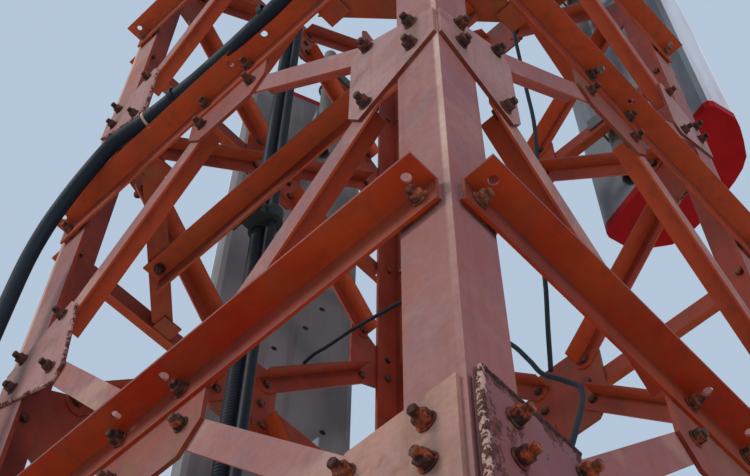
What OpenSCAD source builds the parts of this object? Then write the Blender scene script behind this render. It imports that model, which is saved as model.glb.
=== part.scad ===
// Cell tower: six braced bays of a square lattice mast in painted steel angle, with feeder cables and panel antennas.
// Millimetres. Z is up, the tower's axis is the Z axis and the undersides of its feet are at Z = 0.
// The near leg of the photograph stands at +X, -Y. The front face looks along -Y, the right face along +X.

/* [Tower] */
// Width across a face, from heel to heel of the legs
tower_w = 1280; // [1000:10:1600]
// Height of one braced bay
bay_h = 1280; // [1100:10:1500]
// Number of bays
bays = 6; // [5:1:8]
// Height of the lowest joint above the ground
first_joint = 220; // [205:5:400]
// Leg length above the highest joint
leg_over = 200; // [190:5:400]

/* [Angle bars] */
// Flange width of a leg
leg_b = 100; // [90:1:120]
// Flange thickness of a leg
leg_t = 10; // [8:0.5:14]
// Flange width of a horizontal
hor_b = 63; // [56:1:75]
// Flange thickness of a horizontal
hor_t = 6; // [5:0.5:8]
// Height of a horizontal's top flange above the middle of the bracing
hor_rise = 30; // [20:1:40]
// Distance of a horizontal's end from the heel of its leg
hor_end = 16; // [10:1:30]
// Flange width of a diagonal
diag_b = 56; // [45:1:60]
// Flange thickness of a diagonal
diag_t = 5; // [4:0.5:6]
// Diameter of the spare holes in the horizontals
hole_d = 17.5; // [14:0.5:20]

/* [Plates] */
// Thickness of the leg gussets and centre plates
plate_t = 8; // [6:0.5:12]
// Reach of a leg gusset from the heel
gusset_w = 217; // [205:1:240]
// Half the height of a leg gusset
gusset_h = 166; // [160:1:180]
// Half the height of a leg gusset at the leg's heel
gusset_heel = 55; // [45:1:80]
// Half the height of the level-topped gussets at the splice joint
splice_h = 184; // [160:1:190]
// Half the width of a centre plate
centre_w = 130; // [115:1:140]
// Half the height of a centre plate
centre_h = 166; // [155:1:175]
// Thickness of the leg splice plates at the third joint
splice_t = 12; // [6:0.5:14]

/* [Feet] */
// Side of a base plate
foot_w = 300; // [260:5:400]
// Thickness of a base plate
foot_t = 20; // [15:1:30]
// Distance of the anchor holes from the middle of the plate
anchor_off = 110; // [95:1:120]
// Diameter of the anchor holes
anchor_d = 26; // [20:1:32]

/* [Feeder cables] */
// Diameter of the thicker corrugated feeder
feeder_d = 42; // [25:1:45]
// Diameter of the thinner corrugated feeder
feeder_small_d = 25; // [20:1:34]
// Distance of the feeders from the front face
feeder_in = 298; // [290:1:330]
// Diameter of the smooth cable on the front face
outer_d = 40; // [28:1:42]
// Height of the feeders' lower ends above the ground
feeder_low = 120; // [60:10:300]
// Diameter of the thin jumper cables
jumper_d = 12; // [8:1:14]
// Distance of the left corner brace's bolt line from its leg's heel, along a face
brace_off = 355; // [345:1:390]
// The same distance at the right corner brace
brace_near = 311; // [300:1:345]

/* [Rear antenna] */
// Width of the rear antenna
ant_r_w = 540; // [400:5:560]
// Height of the rear antenna
ant_r_h = 2250; // [1500:10:2300]
// Distance of its lower end below the top horizontals
ant_r_drop = 1500; // [1400:10:1700]
// Turn of the rear antenna away from square
ant_r_turn = -15.3; // [-30:0.5:0]

/* [Left antenna] */
// Width of the left antenna
ant_l_w = 500; // [400:5:560]
// Height of the left antenna
ant_l_h = 3050; // [2800:10:3200]
// Distance of its lower end below the horizontal that its lower arm lies on
ant_l_drop = 230; // [150:10:400]
// Turn of the left antenna away from square
ant_l_turn = -22; // [-30:0.5:0]

/* [Antenna parts] */
// Depth of an antenna, from its back to its front
ant_d = 265; // [200:5:280]
// Height of a red end cap
cap_h = 45; // [30:1:80]
// Thickness of the sheet that an antenna's back is folded from
tray_t = 3; // [1.5:0.5:6]
// Wall thickness of an antenna's radome
radome_t = 4; // [2:0.5:8]
// Diameter of the mounting pipes
pipe_d = 60; // [48:1:76]

/* [Hidden] */

a = tower_w / 2;
last_joint = first_joint + bays * bay_h;
leg_top = last_joint + leg_over;
// level of the top flange of horizontal n
function hor_z(n) = first_joint + (n + 0.5) * bay_h + hor_rise;
// bolts of the diagonals: from the leg's heel and the joint, and from the middle of the centre plate
leg_bolt = [172, 128];
mid_bolt = [84, 91];
end_over = 30;
// how far the lower half of each diagonal sits below its bolts
low_set = 5;
// the one bar that is bolted further in: on the front, under the left gusset of this joint
odd_n = 3;
odd_bolt = [202, 97];
// outer faces of the plates, and inner faces of the horizontals
plate_y = -a - plate_t;
// the joint at which the legs are spliced
splice_n = 2;
steel = [0.63, 0.36, 0.30];
rust = [0.45, 0.18, 0.10];
black = [0.08, 0.08, 0.09];
grey = [0.45, 0.47, 0.50];
white = [0.82, 0.83, 0.84];
red = [0.62, 0.06, 0.05];
zinc = [0.55, 0.57, 0.52];

// an angle bar along +Z: its heel on the axis, its flanges along +X and +Y
module angle(b, t, len) {
    linear_extrude(height = len)
        polygon([[0, 0], [b, 0], [b, t], [t, t], [t, b], [0, b]]);
}

// an angle bar along +X: its heel on the axis, one flange level toward -Y and the other hanging down
module hung_angle(b, t, len) {
    rotate([180, 0, 0]) rotate([90, 0, 90]) angle(b, t, len);
}

// one face of the tower, turned from the front: 1 is right, 2 is rear and 3 is left
module face(k) {
    rotate([0, 0, 90 * k]) children();
}

// a leg at the corner that stands at turn k from the front right
module leg(k) {
    face(k) translate([a, -a, foot_t]) rotate([0, 0, 90]) angle(leg_b, leg_t, leg_top - foot_t);
}

module leg_front_right() {
    color(steel) leg(0);
}

module leg_rear_right() {
    color(steel) leg(1);
}

module leg_rear_left() {
    color(steel) leg(2);
}

module leg_front_left() {
    color(steel) leg(3);
}

// base plates, each centred a little inside its leg's heel
module feet() {
    foot_c = a - 35;
    color(steel)
    for (k = [0 : 3]) face(k) translate([foot_c, -foot_c, 0])
        difference() {
            translate([-foot_w / 2, -foot_w / 2, 0]) cube([foot_w, foot_w, foot_t]);
            for (x = [-1, 1], y = [-1, 1]) translate([x * anchor_off, y * anchor_off, -1])
                cylinder(d = anchor_d, h = foot_t + 2, $fn = 24);
        }
}

// Horizontals: the top flange points outward, the other hangs against the packing plates and centre plates.
// The spare holes in the top flange: one near each end, and two around the middle.
module horizontal(z, shift) {
    len = tower_w - 2 * hor_end;
    gauge = hor_b * 0.56;
    translate([0, plate_y, z])
        difference() {
            translate([-len / 2, 0, 0]) hung_angle(hor_b, hor_t, len);
            for (x = [-len / 2 + 32, -58 + shift, 58 + shift, len / 2 - 32])
                translate([x, -gauge, -hor_t - 1]) cylinder(d = hole_d, h = hor_t + 2, $fn = 16);
        }
}

module horizontals(k, shift) {
    color(steel) face(k)
    for (n = [0 : bays - 1]) horizontal(hor_z(n), n % 2 == 1 ? shift : 0);
}

module front_horizontals() {
    horizontals(0, 93);
}

module right_horizontals() {
    horizontals(1, 0);
}

module rear_horizontals() {
    horizontals(2, 93);
}

module left_horizontals() {
    horizontals(3, 0);
}

// A diagonal's angle along +X from bolt to bolt: the flat flange, with clipped corners, and the inward flange, which
// is on the lower edge where e is -1 and on the upper edge where it is 1
module diagonal_bar(len, e) {
    b = diag_b / 2;
    x0 = -end_over;
    x1 = len + end_over;
    c = 15;
    rotate([90, 0, 0]) translate([0, 0, -diag_t]) linear_extrude(height = diag_t)
        polygon([[x0 + c, -b], [x1 - c, -b], [x1, c - b], [x1, b - c],
            [x1 - c, b], [x0 + c, b], [x0, b - c], [x0, c - b]]);
    translate([x0 + c, 0, e * b - (e > 0 ? diag_t : 0)]) cube([x1 - x0 - 2 * c, diag_b, diag_t]);
}

// Half a diagonal from a bolt of a leg gusset (at -X) up to a centre plate, its flat flange on the inner side of the
// plates and its middle line set below the bolts. The other flange points into the tower from edge e.
module half_diagonal(e, bolt = leg_bolt, set = 0) {
    from = [-a + bolt[0], bolt[1]];
    run = [-mid_bolt[0], bay_h / 2 - mid_bolt[1]] - from;
    translate([from[0], -a, from[1]]) rotate([0, -atan2(run[1], run[0]), 0]) translate([0, 0, -set])
        diagonal_bar(norm(run), e);
}

// All half diagonals of one face, each with its inward flange on the upper edge
module diagonals(k) {
    color(steel) face(k)
    for (n = [0 : bays - 1], m = [0, 1]) mirror([m, 0, 0]) {
        joint = first_joint + n * bay_h;
        translate([0, 0, joint]) half_diagonal(1, leg_bolt, low_set);
        translate([0, 0, joint + bay_h]) mirror([0, 0, 1])
            half_diagonal(-1, k == 0 && m == 0 && n + 1 == odd_n ? odd_bolt : leg_bolt);
    }
}

module front_diagonals() {
    diagonals(0);
}

module right_diagonals() {
    diagonals(1);
}

module rear_diagonals() {
    diagonals(2);
}

module left_diagonals() {
    diagonals(3);
}

// A plate that stands on the front face, drawn as seen from outside: x to the right and z up
module face_plate(t) {
    translate([0, -a, 0]) rotate([90, 0, 0]) linear_extrude(height = t) children();
}

// Leg gusset at -X. It reaches the leg's heel, and at the splice joint its top is level. Its lower end may be wider.
module gusset_shape(splice, wide = 0) {
    w = gusset_w;
    inner = splice ? splice_h : gusset_heel;
    top = splice ? splice_h : gusset_h;
    x0 = -a + (splice ? 10 : 2);
    polygon([[x0, -inner], [-a + w - 26 + wide, -top], [-a + w + wide, -top + 38],
        [-a + w, top - 38], [-a + w - 26, top], [x0, inner]]);
}

module gussets(k) {
    color(steel) face(k)
    for (n = [0 : bays], m = [0, 1]) translate([0, 0, first_joint + n * bay_h]) mirror([m, 0, 0])
        face_plate(plate_t) gusset_shape(n == splice_n, k == 0 && n == odd_n && m == 0 ? 30 : 0);
}

module front_gussets() {
    gussets(0);
}

module right_gussets() {
    gussets(1);
}

module rear_gussets() {
    gussets(2);
}

module left_gussets() {
    gussets(3);
}

// Centre plates, behind the horizontals, where the four half diagonals of a bay meet
module centre_plates(k) {
    w = centre_w;
    h = centre_h;
    color(steel) face(k)
    for (n = [0 : bays - 1]) translate([0, 0, hor_z(n) - hor_rise])
        face_plate(plate_t)
            polygon([[-w, -h + 56], [-w + 44, -h], [w - 44, -h], [w, -h + 56],
                [w, h - 56], [w - 44, h], [-w + 44, h], [-w, h - 56]]);
}

module front_centre_plates() {
    centre_plates(0);
}

module right_centre_plates() {
    centre_plates(1);
}

module rear_centre_plates() {
    centre_plates(2);
}

module left_centre_plates() {
    centre_plates(3);
}

// Packing plates between the horizontals' ends and the legs
module packing_plates() {
    color(steel)
    for (k = [0 : 3], n = [0 : bays - 1], m = [0, 1]) face(k) translate([0, 0, hor_z(n)]) mirror([m, 0, 0])
        face_plate(plate_t) translate([-a + hor_end + 2, -hor_b + 11]) square([hor_b - 4, hor_b - 19]);
}

// Splice plates over the gussets of one flange of each leg, flush with the leg's heel
module splice_plates() {
    color(rust)
    for (k = [1 : 4]) face(k) translate([-8, -plate_t, first_joint + splice_n * bay_h])
        face_plate(splice_t) gusset_shape(true);
}

// Short angle cleats on the inner side of the front, left and right horizontals, under the ends of the corner braces
module brace_cleats() {
    color(steel)
    for (n = [1 : 2 : bays - 1]) translate([0, 0, hor_z(n)]) {
        cleat(-a + brace_off);
        cleat(a - brace_near);
        face(1) cleat(-a + brace_near);
        face(3) cleat(a - brace_off);
    }
}

module cleat(x) {
    translate([x - 30, -a - plate_t, -hor_b + 3]) {
        cube([60, 6, hor_b - 6]);
        cube([60, 50, 6]);
    }
}

// Corner braces across the front legs, lying on the cleats
module corner_brace(off) {
    intersection() {
        translate([a - off / 2, -a + off / 2, -hor_b + 9]) rotate([0, 0, 45])
            translate([-400, -28, 0]) rotate([90, 0, 90]) angle(56, 5, 800);
        translate([-a, -a + 1, -hor_b]) cube([2 * a - 1, 2 * a - 2, 90]);
    }
}

module corner_braces() {
    color(steel)
    for (n = [1 : 2 : bays - 1]) translate([0, 0, hor_z(n)]) {
        corner_brace(brace_near);
        mirror([1, 0, 0]) corner_brace(brace_off);
    }
}

// the inner face of the feeder bars, measured from the front face
bar_in = 244;
bar_y = -a + bar_in;
bar_b = 60;
bar_z = -hor_b + 9;

// Feeder bars under the corner braces, along the front face, with one flange hanging on the inner side.
// They reach a little past the middle of each corner brace.
module feeder_bars() {
    left = -a + brace_off - bar_in + 2;
    right = a - brace_near + bar_in - 2;
    color(steel)
    for (n = [1 : 2 : bays - 1]) translate([left, bar_y, hor_z(n) + bar_z])
        hung_angle(bar_b, 6, right - left);
}

feeder_x = a - 824;
feeder_y = -a + feeder_in;
// the two feeders, left and right of the middle of their clamps
feeder_at = [-21, 22];
clamp_w = 102;
clamp_h = 50;
arm_t = 6;
clamp_z = bar_z - bar_b + 4;

// Brown arms between the feeder bars and the clamps
module feeder_arms() {
    color(rust)
    for (n = [1 : 2 : bays - 1]) translate([feeder_x - clamp_w / 2 - 12, bar_y, hor_z(n) + clamp_z])
        cube([clamp_w, arm_t, clamp_h]);
}

// Clamps around both feeders, with round shoulders
module feeder_clamps() {
    color(black)
    for (n = [1 : 2 : bays - 1]) translate([feeder_x, feeder_y, hor_z(n) + clamp_z])
        difference() {
            linear_extrude(height = clamp_h) {
                hull() for (x = feeder_at) translate([x, 0]) circle(d = feeder_d + 16, $fn = 24);
                translate([-34, bar_y + arm_t - feeder_y]) square([64, feeder_y - bar_y - arm_t]);
            }
            translate([feeder_at[0], 0, -1]) cylinder(d = feeder_d + 0.6, h = clamp_h + 2, $fn = 24);
            translate([feeder_at[1], 0, -1]) cylinder(d = feeder_small_d + 0.6, h = clamp_h + 2, $fn = 24);
        }
}

module feeder(x, d, below_top) {
    color(black) translate([feeder_x + x, feeder_y, feeder_low])
        cylinder(d = d, h = leg_top - below_top - feeder_low, $fn = 20);
}

module thick_feeder() {
    feeder(feeder_at[0], feeder_d, 300);
}

module thin_feeder() {
    feeder(feeder_at[1], feeder_small_d, 500);
}

// The smooth cable on the front face: down beside the right leg, along the top flange of a horizontal, then out over
// its toe and down in front of the left leg. It is 0.3 mm clear of the flanges, where the clips hold it.
outer_n = min(3, bays - 1);
outer_r = outer_d / 2;
outer_in = plate_y - hor_b - 2;
outer_out = plate_y - hor_b - outer_r - 2;
outer_x = a + 10;
outer_z = hor_z(outer_n) + outer_r + 0.3;
outer_low = -a + 52;
bend = 180;

outer_route = concat(
    [[outer_x, outer_in, leg_top - 300], [outer_x, outer_in, outer_z + bend]],
    [for (t = [-15 : -15 : -90]) [outer_x - bend + bend * cos(t), outer_in, outer_z + bend + bend * sin(t)]],
    [for (q = [[400, 0, 0], [340, 0.27, 0], [290, 0.68, 2], [245, 0.95, 9], [205, 1, 26], [165, 1, 50],
        [125, 1, 80], [88, 1, 120], [52, 1, 170], [28, 1, 228], [12, 1, 292], [4, 1, 360], [0, 1, 440]])
        [outer_low + q[0], outer_in + q[1] * (outer_out - outer_in), outer_z - q[2]]],
    [[outer_low, outer_out, feeder_low]]);

// A tube of 10 sides along points in space. No part of the route may run along the direction up.
module tube(pts, r, up) {
    n = len(pts);
    sides = 10;
    ring = [for (i = [0 : n - 1])
        let (p = pts[max(i - 1, 0)], q = pts[min(i + 1, n - 1)], d = (q - p) / norm(q - p),
            u = cross(up, d) / norm(cross(up, d)), v = cross(d, u))
        for (s = [0 : sides - 1]) let (t = 360 * (s + 0.5) / sides) pts[i] + r * cos(t) * u + r * sin(t) * v];
    polyhedron(ring, concat(
        [[for (s = [0 : sides - 1]) s]],
        [[for (s = [sides - 1 : -1 : 0]) (n - 1) * sides + s]],
        [for (i = [0 : n - 2], s = [0 : sides - 1]) let (u = (s + 1) % sides)
            [i * sides + s, (i + 1) * sides + s, (i + 1) * sides + u, i * sides + u]]));
}

module outer_feeder() {
    color(black) tube(outer_route, outer_r, [0, 1, 0]);
}

// A saddle over the cable's level run, with a tab on the horizontal's top flange
module feeder_clip() {
    difference() {
        union() {
            translate([-7, 0, outer_r + 0.3]) rotate([0, 90, 0]) cylinder(r = outer_r + 3, h = 14, $fn = 20);
            translate([-7, 5, 0.2]) cube([14, outer_r + 16, 3]);
        }
        translate([-8, 0, outer_r + 0.3]) rotate([0, 90, 0]) cylinder(r = outer_r + 0.3, h = 16, $fn = 20);
        translate([-8, -60, -10]) cube([16, 120, 10.2]);
    }
}

// A ring around an upright run, with a tab along +X on a horizontal's top flange, beside the ring's middle
module upright_clip(beside = 0) {
    translate([0, 0, 0.2])
    difference() {
        union() {
            cylinder(r = outer_r + 3, h = 12, $fn = 20);
            translate([5, beside - 7, 0]) cube([outer_r + 33, 14, 3]);
        }
        translate([0, 0, -1]) cylinder(r = outer_r + 0.3, h = 14, $fn = 20);
    }
}

module feeder_clips() {
    color(black) {
        for (x = [-140, 180]) translate([x, outer_in, hor_z(outer_n)]) feeder_clip();
        for (n = [0 : outer_n - 1]) translate([outer_low, outer_out, hor_z(n)]) rotate([0, 0, 90]) upright_clip();
        for (n = [outer_n + 1 : bays - 1]) translate([outer_x, outer_in, hor_z(n)])
            rotate([0, 0, 180]) upright_clip(-8);
    }
}

// Antenna section, seen from above: the back on the X axis and the front toward +Y. The back is a folded tray up to
// seam_y and the radome is a curved shell from there. Each is open toward the other, and the end caps close both.
seam_y = 100;

function tray_points(w) = let (h = w / 2, b = h * 1.1)
    [[-h, 0], [h, 0], [h * 1.07, 8], [b, 24], [b, seam_y], [-b, seam_y], [-b, 24], [-h * 1.07, 8]];

function radome_points(w, d) = let (h = w / 2, b = h * 1.1)
    [[-b, seam_y], [b, seam_y], [b, d * 0.42], [h * 1.04, d * 0.53], [h * 0.92, d * 0.69],
        [h * 0.76, d * 0.87], [h * 0.6, d * 0.94], [h * 0.4, d * 0.975], [0, d],
        [-h * 0.4, d * 0.975], [-h * 0.6, d * 0.94], [-h * 0.76, d * 0.87],
        [-h * 0.92, d * 0.69], [-h * 1.04, d * 0.53], [-b, d * 0.42]];

// an outline of half width b, drawn in by x at its sides and moved by y
function drawn_in(points, b, x, y) = [for (p = points) [p[0] * (1 - x / b), p[1] + y]];

module tray_section(w) {
    difference() {
        polygon(tray_points(w));
        polygon(drawn_in(tray_points(w), w * 0.55, tray_t, tray_t));
    }
}

module radome_section(w) {
    difference() {
        polygon(radome_points(w, ant_d));
        polygon(drawn_in(radome_points(w, ant_d), w * 0.55, radome_t, -radome_t));
    }
}

// the middle of each antenna's back, and the axes of the pipes that stand just outside the horizontals
pipe_off = plate_t + hor_b + pipe_d / 2 + 1;
rear_pipe = [335, a + pipe_off];
left_pipe = [-a - pipe_off, 315];
rear_back = [392, a + 190];
left_back = [-a - 278, 363];
upper_z = hor_z(bays - 1);
left_arm_z = hor_z(bays - 3);
ant_r_z = upper_z - ant_r_drop;
ant_l_z = left_arm_z - ant_l_drop;

module at_rear_antenna() {
    translate([rear_back[0], rear_back[1], ant_r_z]) rotate([0, 0, ant_r_turn]) children();
}

module at_left_antenna() {
    translate([left_back[0], left_back[1], ant_l_z]) rotate([0, 0, 90 + ant_l_turn]) children();
}

module antenna_back(w, h) {
    color(grey) translate([0, 0, cap_h]) linear_extrude(height = h - 2 * cap_h) tray_section(w);
}

module antenna_radome(w, h) {
    color(white) translate([0, 0, cap_h]) linear_extrude(height = h - 2 * cap_h) radome_section(w);
}

module antenna_caps(w, h) {
    color(red)
    for (z = [0, h - cap_h]) translate([0, 0, z]) linear_extrude(height = cap_h) {
        polygon(tray_points(w));
        polygon(radome_points(w, ant_d));
    }
}

module rear_antenna_back() {
    at_rear_antenna() antenna_back(ant_r_w, ant_r_h);
}

module rear_antenna_radome() {
    at_rear_antenna() antenna_radome(ant_r_w, ant_r_h);
}

module rear_antenna_caps() {
    at_rear_antenna() antenna_caps(ant_r_w, ant_r_h);
}

module left_antenna_back() {
    at_left_antenna() antenna_back(ant_l_w, ant_l_h);
}

module left_antenna_radome() {
    at_left_antenna() antenna_radome(ant_l_w, ant_l_h);
}

module left_antenna_caps() {
    at_left_antenna() antenna_caps(ant_l_w, ant_l_h);
}

// Open galvanised pipes
module pipe(at, z0, z1) {
    color(zinc) translate([at[0], at[1], z0])
        difference() {
            cylinder(d = pipe_d, h = z1 - z0, $fn = 24);
            translate([0, 0, -1]) cylinder(d = pipe_d - 8, h = z1 - z0 + 2, $fn = 24);
        }
}

// The pipes reach past the brackets, and past the horizontals that carry them.
pipe_over = 100;
rear_low = ant_r_z + 460;
rear_high = ant_r_z + ant_r_h - 460;
left_high = min(upper_z, ant_l_z + ant_l_h) - 300;

module rear_antenna_pipe() {
    pipe(rear_pipe, min(hor_z(bays - 2), rear_low) - 3.2 * pipe_over, max(upper_z, rear_high) + 2 * pipe_over);
}

module left_antenna_pipe() {
    pipe(left_pipe, left_high - 3 * pipe_over, upper_z + 4 * pipe_over);
}

// A channel bracket between a pipe at [px, py] and the back of an antenna, in the antenna's own frame
module bracket(p) {
    difference() {
        translate([p[0] - 42, p[1], 0]) cube([84, -p[1], 70]);
        translate([p[0], p[1], -1]) cylinder(d = pipe_d + 0.6, h = 72, $fn = 24);
        translate([p[0] - 34, p[1] + 36, -1]) cube([68, -p[1] - 44, 72]);
    }
}

// a point of the plan, as an antenna turned by r at the point c sees it
function seen(q, c, r) = let (d = q - c) [d[0] * cos(r) + d[1] * sin(r), d[1] * cos(r) - d[0] * sin(r)];

module rear_antenna_brackets() {
    p = seen(rear_pipe, rear_back, ant_r_turn);
    color(zinc)
    for (z = [rear_low, rear_high]) at_rear_antenna() translate([0, 0, z - ant_r_z]) bracket(p);
}

// The upper bracket is on the pipe. The lower arm lies on the left horizontal and meets the antenna's slanted back.
module left_antenna_brackets() {
    p = seen(left_pipe, left_back, 90 + ant_l_turn);
    arm = 408;
    color(zinc) {
        at_left_antenna() translate([0, 0, left_high - ant_l_z]) bracket(p);
        intersection() {
            translate([plate_y - 4 - arm, left_pipe[1], left_arm_z]) {
                cube([arm, 50, 6]);
                cube([arm, 6, 50]);
            }
            // all that is behind the antenna's back
            at_left_antenna() translate([-ant_l_w, -600, -ant_l_h]) cube([2 * ant_l_w, 600, 2 * ant_l_h]);
        }
    }
}

// U-bolts around the pipes, over the horizontals, with a plate against the inner side of the horizontals
module pipe_clamp(k, x, z) {
    r = pipe_d / 2 + 6;
    len = pipe_off - plate_t;
    face(k) translate([x, -a - pipe_off, z + 7]) {
        rotate([0, 0, 180]) rotate_extrude(angle = 180, $fn = 24) translate([r, 0]) circle(d = 10, $fn = 8);
        for (s = [-1, 1]) translate([s * r, 0, 0]) rotate([-90, 0, 0]) cylinder(d = 10, h = len + 4, $fn = 8);
        translate([-r - 14, len, -50]) cube([2 * r + 28, 8, 66]);
    }
}

module pipe_clamps() {
    color(zinc) {
        for (n = [bays - 2, bays - 1]) pipe_clamp(2, -rear_pipe[0], hor_z(n));
        pipe_clamp(3, -left_pipe[1], upper_z);
    }
}

// Two thin jumper cables, whose routes are given for a tower 1280 wide. One comes from the back of the left antenna,
// hangs across the tower and goes down in the inner corner of the near leg. The other comes from the back of the rear
// antenna and hangs down to the first.
jumper_in = a - leg_t - jumper_d / 2 - 0.3;
scale_in = a / 640;

left_jumper = concat(
    [[left_back[0] + 32.4, left_back[1] + 77.5, left_arm_z + 758],
     [left_back[0] + 83, left_back[1] + 57, left_arm_z + 742]],
    [for (q = [[-730, 395, 655], [-650, 372, 600], [-573, 350, 548], [-480, 325, 480], [-390, 302, 413],
        [-293, 280, 345], [-200, 262, 250], [-120, 250, 130], [-50, 242, 0], [30, 250, -150], [109, 247, -290],
        [170, 222, -440], [222, 195, -570], [262, 185, -630], [300, 170, -695], [335, 142, -765], [355, 112, -840],
        [375, 65, -940], [388, 15, -1050], [397, -52, -1207], [415, -140, -1360], [450, -260, -1530],
        [505, -390, -1710], [560, -500, -1890], [603, -580, -2070]])
        [q[0] * scale_in, q[1] * scale_in, left_arm_z + q[2]]],
    [[jumper_in, -jumper_in, left_arm_z - 2260], [jumper_in, -jumper_in, feeder_low + 40]]);

rear_jumper = concat(
    [[rear_back[0] + 8.6, rear_back[1] - 3, ant_r_z + 380],
     [rear_back[0] - 6, rear_back[1] - 58, ant_r_z + 378]],
    [for (q = [[382, 700, 370], [381, 640, 366], [379, 560, 372], [376, 470, 392], [372, 380, 408], [366, 300, 400],
        [360, 230, 362], [355, 180, 290], [351, 158, 200], [350, 150, 100], [349, 150, -10], [350, 150, -137],
        [351, 150, -362]])
        [q[0] * scale_in, q[1] * scale_in, ant_r_z + q[2]]],
    [for (q = [[351, 150, 428], [322, 168, 250], [284, 188, 70], [264, 196, -261], [250, 197, -410],
        [238, 197, -565]])
        [q[0] * scale_in, q[1] * scale_in, left_arm_z + q[2]]]);

module jumper_cables() {
    color(black) {
        tube(left_jumper, jumper_d / 2, [0, 1, 0]);
        tube(rear_jumper, jumper_d / 2, [1, 0, 0]);
    }
}

leg_front_right();
leg_front_left();
leg_rear_right();
leg_rear_left();
feet();
front_horizontals();
right_horizontals();
rear_horizontals();
left_horizontals();
front_diagonals();
right_diagonals();
rear_diagonals();
left_diagonals();
front_gussets();
right_gussets();
rear_gussets();
left_gussets();
front_centre_plates();
right_centre_plates();
rear_centre_plates();
left_centre_plates();
packing_plates();
splice_plates();
brace_cleats();
corner_braces();
feeder_bars();
feeder_arms();
feeder_clamps();
thick_feeder();
thin_feeder();
outer_feeder();
feeder_clips();
jumper_cables();
rear_antenna_back();
rear_antenna_radome();
rear_antenna_caps();
rear_antenna_pipe();
rear_antenna_brackets();
left_antenna_back();
left_antenna_radome();
left_antenna_caps();
left_antenna_pipe();
left_antenna_brackets();
pipe_clamps();
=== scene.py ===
import bpy
import math
import random
from mathutils import Matrix, Vector


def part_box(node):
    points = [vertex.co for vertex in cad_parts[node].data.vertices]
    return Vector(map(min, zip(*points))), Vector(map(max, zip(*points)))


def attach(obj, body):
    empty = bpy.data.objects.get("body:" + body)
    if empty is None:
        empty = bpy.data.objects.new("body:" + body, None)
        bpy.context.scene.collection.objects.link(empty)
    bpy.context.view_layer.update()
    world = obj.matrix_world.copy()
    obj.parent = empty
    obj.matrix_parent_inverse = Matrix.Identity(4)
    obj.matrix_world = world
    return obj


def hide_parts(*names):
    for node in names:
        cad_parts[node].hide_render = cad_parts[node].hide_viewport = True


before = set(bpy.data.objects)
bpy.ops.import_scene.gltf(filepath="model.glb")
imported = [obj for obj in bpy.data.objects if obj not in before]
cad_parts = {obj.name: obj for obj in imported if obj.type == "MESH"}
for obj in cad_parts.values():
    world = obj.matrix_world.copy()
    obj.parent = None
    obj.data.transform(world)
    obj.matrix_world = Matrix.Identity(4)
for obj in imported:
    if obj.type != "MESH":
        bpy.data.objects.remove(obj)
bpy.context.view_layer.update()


# The studio: a pale floor, a plain sky of soft light, a large soft lamp before the front face and a
# weaker one beside the right face. The camera stands low beside the near leg and looks steeply up,
# as the photograph does.

floor_half = 40.0
floor_z = -0.001
floor_corners = [(x * floor_half, y * floor_half, floor_z) for x, y in ((-1, -1), (1, -1), (1, 1), (-1, 1))]
floor_mesh = bpy.data.meshes.new("studio_floor")
floor_mesh.from_pydata(floor_corners, [], [(0, 1, 2, 3)])
floor = bpy.data.objects.new("studio_floor", floor_mesh)
bpy.context.scene.collection.objects.link(floor)
floor_paint = bpy.data.materials.new("pale_studio_floor")
floor_paint.use_nodes = True
floor_shader = floor_paint.node_tree.nodes["Principled BSDF"]
floor_shader.inputs["Base Color"].default_value = (0.80, 0.75, 0.70, 1)
floor_shader.inputs["Roughness"].default_value = 0.9
floor_mesh.materials.append(floor_paint)

sky = bpy.data.worlds.new("studio_sky")
sky.use_nodes = True
sky_light = sky.node_tree.nodes["Background"]
sky_light.inputs["Color"].default_value = (0.66, 0.81, 1.00, 1)
sky_light.inputs["Strength"].default_value = 0.70
bpy.context.scene.world = sky

lamp_width = 5.0
lamp_aim = Vector((0.0, 0.0, 3.6))


def soft_lamp(name, place, power, colour):
    """A round soft lamp that shines at the middle of the tower."""
    lamp = bpy.data.lights.new(name, "AREA")
    lamp.shape = "DISK"
    lamp.size = lamp_width
    lamp.energy = power
    lamp.color = colour
    lamp_object = bpy.data.objects.new(name, lamp)
    bpy.context.scene.collection.objects.link(lamp_object)
    lamp_object.location = place
    lamp_object.rotation_euler = (lamp_aim - Vector(place)).to_track_quat("-Z", "Y").to_euler()


soft_lamp("key_lamp", (-5.0, -13.0, 12.0), 1150.0, (1.0, 0.94, 0.86))
soft_lamp("fill_lamp", (12.0, -4.0, 7.0), 370.0, (1.0, 0.93, 0.95))

camera = bpy.data.cameras.new("photo_camera")
camera.sensor_width = 36.0
camera.lens = 65.81
camera.clip_end = 200.0
camera_object = bpy.data.objects.new("photo_camera", camera)
bpy.context.scene.collection.objects.link(camera_object)
camera_place = (1.2307, -1.4101, 1.6579)
to_right = Vector((0.72748, 0.68612, 0.00680))
to_bottom = Vector((-0.58596, 0.62644, -0.51414))
ahead = Vector((-0.35701, 0.37005, 0.85774))
camera_turn = Matrix((to_right, -to_bottom, -ahead)).transposed().to_4x4()
camera_object.matrix_world = Matrix.Translation(camera_place) @ camera_turn
bpy.context.scene.camera = camera_object
bpy.context.scene.view_settings.view_transform = "Standard"


# The lattice: galvanised angle bars and plates, bolted together under old red-orange paint. It has
# chalked to a dusty pink on the outer faces, and is still deep orange-red on the undersides; inside
# it is a darker red-brown, which is painted shade. The splice plates join the legs' lengths at the
# third joint.

faces = ("front", "right", "rear", "left")
tower_half = 0.640
joint_0 = 0.220
bay = 1.280
leg_bolt = 0.057
splice_joint = 2
splice_z = joint_0 + splice_joint * bay
splice_half = 0.184
splice_side = tower_half - 0.002

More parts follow.
